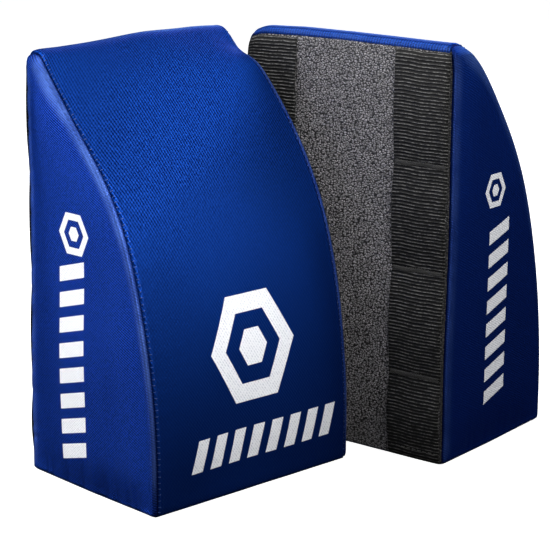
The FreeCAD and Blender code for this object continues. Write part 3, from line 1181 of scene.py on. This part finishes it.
def badge(nodes, x, y, centre, width, height):
    """A plain six-sided ring round a solid centre."""
    away = nodes.times(nodes.math("ABSOLUTE", nodes.minus(x, centre[0])), 2 / width)
    up = nodes.times(nodes.math("ABSOLUTE", nodes.minus(y, centre[1])), 2 / height)
    slant = nodes.sum(away, nodes.times(up, 0.5))
    reach = nodes.math("MAXIMUM", slant, up)
    blur = 2 * PRINT_BLUR / height
    outside, hole, middle = (nodes.span(reach, edge - blur, edge + blur, 1.0, 0.0) for edge in BADGE_EDGES)
    return nodes.sum(nodes.minus(outside, hole), middle)


def bars(nodes, x, y, centre, width, height, count):
    """A row of plain slanted bars along x."""
    along = nodes.minus(x, centre[0] - width / 2)
    up = nodes.minus(y, centre[1])
    leaned = nodes.minus(along, nodes.times(up, BAR_SLANT))
    pitch = width / count
    step = nodes.math("FRACT", nodes.math("DIVIDE", leaned, pitch))
    away = nodes.math("ABSOLUTE", nodes.minus(step, 0.5))
    blur = PRINT_BLUR / pitch
    stripe = nodes.span(away, BAR_HALF - blur, BAR_HALF + blur, 1.0, 0.0)
    edge = height / 2
    high = nodes.span(nodes.math("ABSOLUTE", up), edge - PRINT_BLUR, edge + PRINT_BLUR, 1.0, 0.0)
    start = nodes.math("GREATER_THAN", leaned, 0.0)
    end = nodes.math("LESS_THAN", leaned, width)
    return nodes.times(stripe, high, start, end)


MARKS = {"badge": badge, "bars": bars}


def print_mask(nodes, marks, x, y):
    """1 on the white print and 0 off it; each mark may be turned to run down the cloth."""
    drawn = []
    for kind, turned, centre, size in marks:
        along, up = (nodes.times(y, -1.0), x) if turned else (x, y)
        drawn.append(MARKS[kind](nodes, along, up, centre, *size))
    return nodes.chain("MAXIMUM", drawn)


# The nylon's dark threads and light threads; the pale colour of its painted sheen, a painted highlight where
# the cloth turns over an edge; and the painted shade of its seams. The sides' light threads are painted
# darker and a little towards violet, as painted shade and a painted violet sheen.
NYLON_DARK = (0.0004, 0.0052, 0.055)
NYLON_LIGHT = (0.0085, 0.057, 0.36)
# Painted shade and sheen: the sides' light threads are a darker, more violet copy of the front's.
SIDE_LIGHT = (0.0105, 0.042, 0.315)
NYLON_PAINTED_SHEEN = (0.085, 0.165, 0.50)
NYLON_SEAM_SHADE = (0.0003, 0.003, 0.030)
NYLON_GLARE = (0.05, 0.42, 0.95)
NYLON_SATIN = 0.80
# How bright the cloth is where its weave is at its middle height.
NYLON_MIDDLE = 0.46
# The angle between the ridges and the threads that cross them, in radians.
CROSS_ANGLE = 1.9
# Painted light: the weave's glints show where light grazes the upper front, so its contrast fades lower
# down.
# The front's weave shows from the second height up, and is nearly smooth below the first, in millimetres.
FRONT_WEAVE_FADE = (75.0, 165.0)
# The height about which the front's threads bow.
BOW_MIDDLE = 120.0


def nylon(name, lean, pitch, cross_pitch, mix, strength=1.0, bow=0.0, marks=(), light=NYLON_LIGHT):
    """Blue woven nylon: slanting ridges crossed by threads, with a white print where marks says."""
    nodes = Material(name)
    x, y = nodes.flat_place()
    drift = nodes.times(nodes.minus(nodes.noise(22.0, 3.0), 0.5), 0.8)
    slipped = nodes.sum(x, drift)
    if bow:
        rise = nodes.minus(y, BOW_MIDDLE)
        slipped = nodes.sum(slipped, nodes.times(rise, rise, bow))
    ridge = nodes.wave(slipped, y, lean, pitch)
    cross = nodes.wave(slipped, nodes.sum(y, drift), lean + CROSS_ANGLE, cross_pitch)
    grain = nodes.minus(nodes.noise(900.0, 1.0), 0.5)
    weave = nodes.sum(nodes.times(ridge, mix[0]), nodes.times(cross, mix[1]), nodes.times(grain, 0.9), 0.5)
    # Painted light: a painted highlight where the cloth turns over an edge, and painted shade in its seams.
    painted_sheen, seam = nodes.painted_sheen_and_shade()
    clear = nodes.times(nodes.span(nodes.noise(11.0, 3.0, 0.6), 0.36, 0.62, 0.4 * strength, strength),
                        nodes.span(painted_sheen, 0.0, 1.0, 1.0, 0.45))
    if bow:
        # The weave's contrast fades lower down the front, as painted glints.
        clear = nodes.times(clear, nodes.span(y, *FRONT_WEAVE_FADE, 0.15, 1.0))
    shade = nodes.math("ADD", nodes.times(nodes.minus(weave, 0.5), clear), NYLON_MIDDLE, clamp=True)
    # The painted highlight, broken up by a noise, mixes the pale sheen colour into the cloth.
    sheen_paint = nodes.times(painted_sheen, nodes.span(nodes.noise(60.0, 2.0), 0.3, 0.65, 0.30, 0.62))
    colour = nodes.mix(sheen_paint, nodes.mix(shade, NYLON_DARK, light), NYLON_PAINTED_SHEEN)
    # Painted shade: the cloth is darkened where it goes down into a seam.
    colour = nodes.mix(nodes.times(seam, 0.85), colour, NYLON_SEAM_SHADE)
    roughness = nodes.span(shade, 0.0, 1.0, 0.52, 0.42)
    height, satin = weave, NYLON_SATIN
    if marks:
        mask = print_mask(nodes, marks, x, y)
        cover = nodes.times(mask, nodes.span(weave, 0.0, 0.4, 0.72, 1.0))
        colour = nodes.mix(cover, colour, INK)
        satin = nodes.span(cover, 0.0, 1.0, NYLON_SATIN, 0.0)
        filled = nodes.minus(1.0, nodes.times(mask, 0.35))
        height = nodes.sum(nodes.times(weave, filled), nodes.times(mask, 0.5))
    return nodes.finish(colour, roughness, height, 0.12, Metallic=satin, Specular_IOR_Level=0.15,
                        Specular_Tint=NYLON_GLARE)


# How far places across the cloth are squeezed before the grain is laid out, which makes its cells wider
# than they are high, and how far a noise bends it, in millimetres.
GRAIN_SQUASH = 0.62
GRAIN_WARP = (1.6, 1.6, 0.0)
# The vinyl's black, and the pale grey of the glints painted on its pebbles.
VINYL_DARK = (0.005, 0.005, 0.0052)
VINYL_PAINTED_GLINT = (0.40, 0.386, 0.40)
# The painted shade of its seams.
VINYL_SEAM_SHADE = (0.004, 0.004, 0.004)


def vinyl():
    """Black leather-grain vinyl: small flattened pebbles between dark creases, with pale painted glints on
    the pebbles.
    """
    nodes = Material("black_vinyl_grain")
    x, y = nodes.flat_place()
    place = nodes.vector(nodes.times(x, GRAIN_SQUASH), y)
    warp = nodes.noise_at(place, 0.45).outputs["Color"]
    bent = nodes.add("ShaderNodeVectorMath", {0: warp, 1: GRAIN_WARP, 2: place}, operation="MULTIPLY_ADD")
    inputs = {"Vector": bent.outputs[0], "Scale": 1.0}
    domes, creases = (
        nodes.add("ShaderNodeTexVoronoi", inputs, feature=kind, voronoi_dimensions="2D").outputs["Distance"]
        for kind in ("F1", "DISTANCE_TO_EDGE"))
    pebble = nodes.times(nodes.span(creases, 0.01, 0.22), nodes.span(domes, 0.05, 0.65, 1.0, 0.25))
    fine = nodes.noise(1300.0, 2.0)
    height = nodes.sum(nodes.times(pebble, 0.8), nodes.times(fine, 0.3))
    patch = nodes.noise(14.0, 3.0)
    broad = nodes.noise(240.0, 2.0, 0.6)
    # Painted glints: pale on the pebbles' crests, broken up by noise, leaving the creases black.
    painted_glint = nodes.times(nodes.span(pebble, 0.02, 0.62), nodes.span(fine, 0.32, 0.58, 0.35, 1.0),
                        nodes.span(broad, 0.35, 0.65, 0.78, 1.0))
    colour = nodes.mix(nodes.math("POWER", painted_glint, 1.35), VINYL_DARK, VINYL_PAINTED_GLINT)
    # Painted shade: the vinyl is darkened in its seams and beside the side seams.
    _, seam = nodes.painted_sheen_and_shade()
    colour = nodes.mix(nodes.times(seam, 0.9), colour, VINYL_SEAM_SHADE)
    roughness = nodes.sum(nodes.span(patch, 0.3, 0.7, 0.36, 0.44), nodes.times(fine, 0.08))
    return nodes.finish(colour, roughness, height, 0.35, Specular_IOR_Level=0.5)


WARP_PITCH = 0.9
# The webbing's black, and the pale grey of the highlights painted on its ribs' crests.
WEBBING_DARK = (0.0018, 0.0018, 0.0016)
WEBBING_CREST_HIGHLIGHT = (0.21, 0.206, 0.198)


def webbing_material():
    """Black ribbed webbing: warp threads across each rib, with painted highlights that make the crests
    paler.
    """
    nodes = Material("black_ribbed_webbing")
    x, y = nodes.flat_place()
    count = nodes.math("DIVIDE", y, RIB_PITCH)
    row = nodes.math("FLOOR", count)
    crest = nodes.math("ABSOLUTE", nodes.math("SINE", nodes.times(count, math.pi)))
    turn = nodes.sum(nodes.times(x, 2 * math.pi / WARP_PITCH), nodes.times(row, math.pi))
    thread = nodes.math("SINE", turn)
    fuzz = nodes.noise(900.0, 3.0, 0.7)
    place = nodes.vector(nodes.times(x, 0.22), nodes.times(row, 3.7))
    dash = nodes.noise_at(place, 1.0, 1.0).outputs[0]
    height = nodes.sum(nodes.times(thread, 0.25), nodes.times(fuzz, 0.5), nodes.times(crest, 0.2))
    # Painted highlight: the ribs' crests are painted pale, broken up by the fuzz, the threads and the
    # dashes.
    lit = nodes.times(nodes.span(crest, 0.84, 0.99), nodes.span(fuzz, 0.34, 0.60, 0.20, 1.0),
                      nodes.span(thread, -1.0, 0.6, 0.7, 1.0), nodes.span(dash, 0.38, 0.58, 0.40, 1.0))
    colour = nodes.mix(lit, WEBBING_DARK, WEBBING_CREST_HIGHLIGHT)
    roughness = nodes.span(fuzz, 0.2, 0.8, 0.5, 0.72)
    return nodes.finish(colour, roughness, height, 0.16, Specular_IOR_Level=0.25)


def thread_material(name, dark, light):
    nodes = Material(name)
    fuzz = nodes.noise(1500.0, 3.0, 0.6)
    colour = nodes.mix(fuzz, dark, light)
    return nodes.finish(colour, nodes.span(fuzz, 0.3, 0.7, 0.4, 0.6), fuzz, 0.06, Sheen_Weight=0.2)


def foam_material():
    nodes = Material("grey_foam_cells")
    place = nodes.add("ShaderNodeTexCoord").outputs["Object"]
    cells = nodes.add("ShaderNodeTexVoronoi", {"Vector": place, "Scale": 900.0}, feature="F1")
    depth = nodes.span(cells.outputs["Distance"], 0.1, 0.6)
    colour = nodes.mix(depth, (0.20, 0.20, 0.205), (0.36, 0.36, 0.37))
    return nodes.finish(colour, nodes.span(depth, 0.0, 1.0, 0.85, 0.75), depth, 0.25)


# The prints: the kind of mark, whether it is turned to run down the cloth, its middle and its size.
FRONT_MARKS = (
    ("badge", False, (1.0, 72.0), (54.0, 52.0)),
    ("bars", False, (6.0, 25.0), (96.0, 16.0, 8)),
)
SIDE_MARKS = {
    "left": (
        ("badge", False, (-39.4, 129.0), (22.0, 20.5)),
        ("bars", True, (-65.0, -37.3), (103.0, 18.0, 8)),
    ),
    "right": (
        ("badge", False, (-39.4, 136.5), (20.0, 17.5)),
        ("bars", True, (-72.6, -44.3), (96.0, 19.0, 8)),
    ),
}
# How clearly the weave of the sides is seen: painted glints, strong on the left pad's sides and faint on the
# right pad's.
SIDE_WEAVE = {"left": 3.0, "right": 0.25}
BASE_CLOTH = {"lean": 0.9, "pitch": 1.3, "cross_pitch": 1.3, "mix": (0.3, 0.2)}
SIDE_CLOTH = {"lean": -1.09, "pitch": 1.12, "cross_pitch": 1.15, "mix": (0.40, 0.20), "light": SIDE_LIGHT}
FRONT_CLOTH = {"lean": 0.40, "pitch": 1.40, "cross_pitch": 1.6, "mix": (0.34, 0.13), "strength": 1.25,
               "bow": -0.0020, "marks": FRONT_MARKS}
# The sewing threads: a name, and the dark and the light colour.
THREADS = {
    "black_thread": ("black_sewing_thread", (0.008, 0.008, 0.008), (0.035, 0.034, 0.03)),
    "hem_thread": ("dark_grey_sewing_thread", (0.02, 0.02, 0.02), (0.09, 0.088, 0.08)),
    "blue_thread": ("blue_sewing_thread", (0.003, 0.022, 0.15), (0.022, 0.080, 0.36)),
}


def materials():
    made = {"foam": foam_material(), "webbing": webbing_material()}
    for key, colours in THREADS.items():
        made[key] = thread_material(*colours)
    grain = vinyl()
    base = nylon("blue_nylon_base", **BASE_CLOTH)
    for pad in PADS:
        made[pad, "back_panel"] = grain
        made[pad, "base_panel"] = base
        made[pad, "front_panel"] = nylon(f"blue_nylon_{pad}_front", **FRONT_CLOTH)
        for side, _ in HANDS:
            name = f"blue_nylon_{pad}_{side}_side"
            cloth = nylon(name, **SIDE_CLOTH, strength=SIDE_WEAVE[pad], marks=SIDE_MARKS[pad])
            made[pad, f"{side}_side_panel"] = cloth
    return made


# The stage


def stage():
    """A pale plain floor."""
    bpy.ops.mesh.primitive_plane_add(size=12)
    floor = bpy.context.object
    floor.name = "stage_floor"
    nodes = Material("pale_floor")
    grain = nodes.noise(3.0, 2.0)
    colour = nodes.mix(grain, (0.58, 0.58, 0.58), (0.60, 0.60, 0.60))
    floor.data.materials.append(nodes.finish(colour, 0.9, grain, 0.01, Emission_Color=(1, 1, 1),
                                             Emission_Strength=0.93, Specular_IOR_Level=0.0))
    floor.visible_diffuse = False
    floor.visible_glossy = False
    floor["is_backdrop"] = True


# The area lights: a name, a place, where it aims, its size and its power.
AREA_LIGHTS = (
    ("overhead_softbox", (0.0, 0.10, 1.10), (0.0, 0.0, 0.10), 0.9, 2.5),
    ("overhead_left", (-0.50, 0.0, 0.95), (0.0, 0.0, 0.10), 0.5, 5.8),
    ("left_softbox", (-1.15, -0.10, 0.40), (0.0, 0.0, 0.12), 0.6, 5.8),
    ("left_front_box", (-1.00, -0.50, 0.45), (0.0, 0.0, 0.12), 0.5, 2.0),
    ("left_low_box", (-1.10, -0.30, 0.12), (0.0, 0.0, 0.12), 0.3, 2.8),
    ("right_softbox", (1.00, 0.05, 0.60), (0.0, 0.0, 0.12), 0.5, 3.7),
    ("right_high_box", (0.70, 0.35, 0.90), (0.0, 0.0, 0.12), 0.5, 3.3),
    ("right_front_box", (0.80, -1.00, 0.60), (0.0, 0.0, 0.10), 0.5, 2.9),
    ("front_box", (0.0, -1.50, 0.62), (0.0, 0.0, 0.12), 0.35, 3.0),
    ("back_box", (0.20, 1.30, 0.60), (0.0, 0.0, 0.12), 0.8, 7.0),
)
SPOT_PLACE = (0.25, -0.90, 0.75)
SPOT_AIM = (-0.06, -0.03, 0.15)
SPOT_SPREAD = math.radians(13.0)
SPOT_POWER = 108.0
SPOT_RADIUS = 0.12


def place_light(name, kind, place, aim, power):
    data = bpy.data.lights.new(name, kind)
    data.energy = power
    light = add_object(name, data)
    light.location = place
    light.rotation_euler = (Vector(aim) - Vector(place)).to_track_quat("-Z", "Y").to_euler()
    light.visible_camera = False
    return data


def lights():
    world_light()
    for name, place, aim, size, power in AREA_LIGHTS:
        data = place_light(name, "AREA", place, aim, power)
        data.shape = "SQUARE"
        data.size = size
    spot = place_light("front_spot", "SPOT", SPOT_PLACE, SPOT_AIM, SPOT_POWER)
    spot.spot_size = SPOT_SPREAD
    spot.spot_blend = 1.0
    spot.shadow_soft_size = SPOT_RADIUS


# How strong the room's light is from level and below, and from overhead; and the backdrop's grey.
ROOM_STRENGTH = (0.015, 0.10)
OVERHEAD = 0.9
BACKDROP = (0.945, 0.945, 0.945)


def world_light():
    """A dim room: paler overhead, dark low down, and plain white where the camera sees it."""
    world = bpy.data.worlds.new("studio")
    bpy.context.scene.world = world
    world.use_nodes = True
    world.node_tree.nodes.clear()
    nodes = Nodes(world.node_tree)
    up = nodes.parts(nodes.add("ShaderNodeTexCoord").outputs["Generated"])[2]
    strength = nodes.span(up, 0.0, OVERHEAD, *ROOM_STRENGTH)
    room = nodes.add("ShaderNodeBackground", {"Color": (1, 1, 1), "Strength": strength}).outputs[0]
    seen = nodes.add("ShaderNodeBackground", {"Color": BACKDROP, "Strength": 1.0}).outputs[0]
    by_camera = nodes.add("ShaderNodeLightPath").outputs["Is Camera Ray"]
    mixed = nodes.add("ShaderNodeMixShader", {0: by_camera, 1: room, 2: seen}).outputs[0]
    nodes.add("ShaderNodeOutputWorld", {0: mixed})


CAMERA_LENS = 129.0
CAMERA_SENSOR = 36.0
CAMERA_PLACE = (-0.0105, -0.9851, 0.3356)
CAMERA_TILT = math.radians(76.02)


def camera():
    data = bpy.data.cameras.new("camera")
    data.lens = CAMERA_LENS
    data.sensor_width = CAMERA_SENSOR
    eye = add_object("camera", data)
    eye.location = CAMERA_PLACE
    eye.rotation_euler = (CAMERA_TILT, 0.0, 0.0)
    bpy.context.scene.camera = eye


# Putting it together


def fit(piece, body, slot, material, *nodes, fill=None):
    piece.data.materials.append(material)
    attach(piece, body)
    if nodes:
        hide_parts(*nodes)


def build_pad(pad, moves, plain):
    cover = Cover(pad, moves)
    body = f"{pad}_pad"
    for name in PANELS:
        piece = cover.panel(name, *PANELS[name].grid(*FINE_GRIDS[name]))
        slot = "black_vinyl" if name == "back_panel" else "blue_nylon"
        fit(piece, body, slot, plain[pad, name], f"{body}_{name}", fill=0.9)
    fit(foam_core(cover), body, "grey_foam", plain["foam"], f"{body}_foam_core", fill=1.0)
    for side, hand in HANDS:
        fit(webbing(cover, side, hand), body, "black_webbing", plain["webbing"], f"{body}_{side}_webbing")
        tacks = threads(f"{body}_{side}_bartack_thread", list(bartack_paths(cover, hand)), cover.place)
        fit(tacks, body, "black_thread", plain["black_thread"], f"{body}_{side}_bartacks")
        fit(topstitch(cover, side, hand), body, "blue_thread", plain["blue_thread"],
            f"{body}_{side}_topstitch")
    fit(hem_stitching(cover), body, "black_thread", plain["hem_thread"])


stage()
lights()
camera()
bpy.context.scene.view_settings.view_transform = "Standard"

moves = simulate()
palette = materials()
for pad in PADS:
    build_pad(pad, moves, palette)

sizes = {"cad": cad_bounds, "visual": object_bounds()}
{key: [list(map(float, corner)) for corner in box] for key, box in sizes.items()}
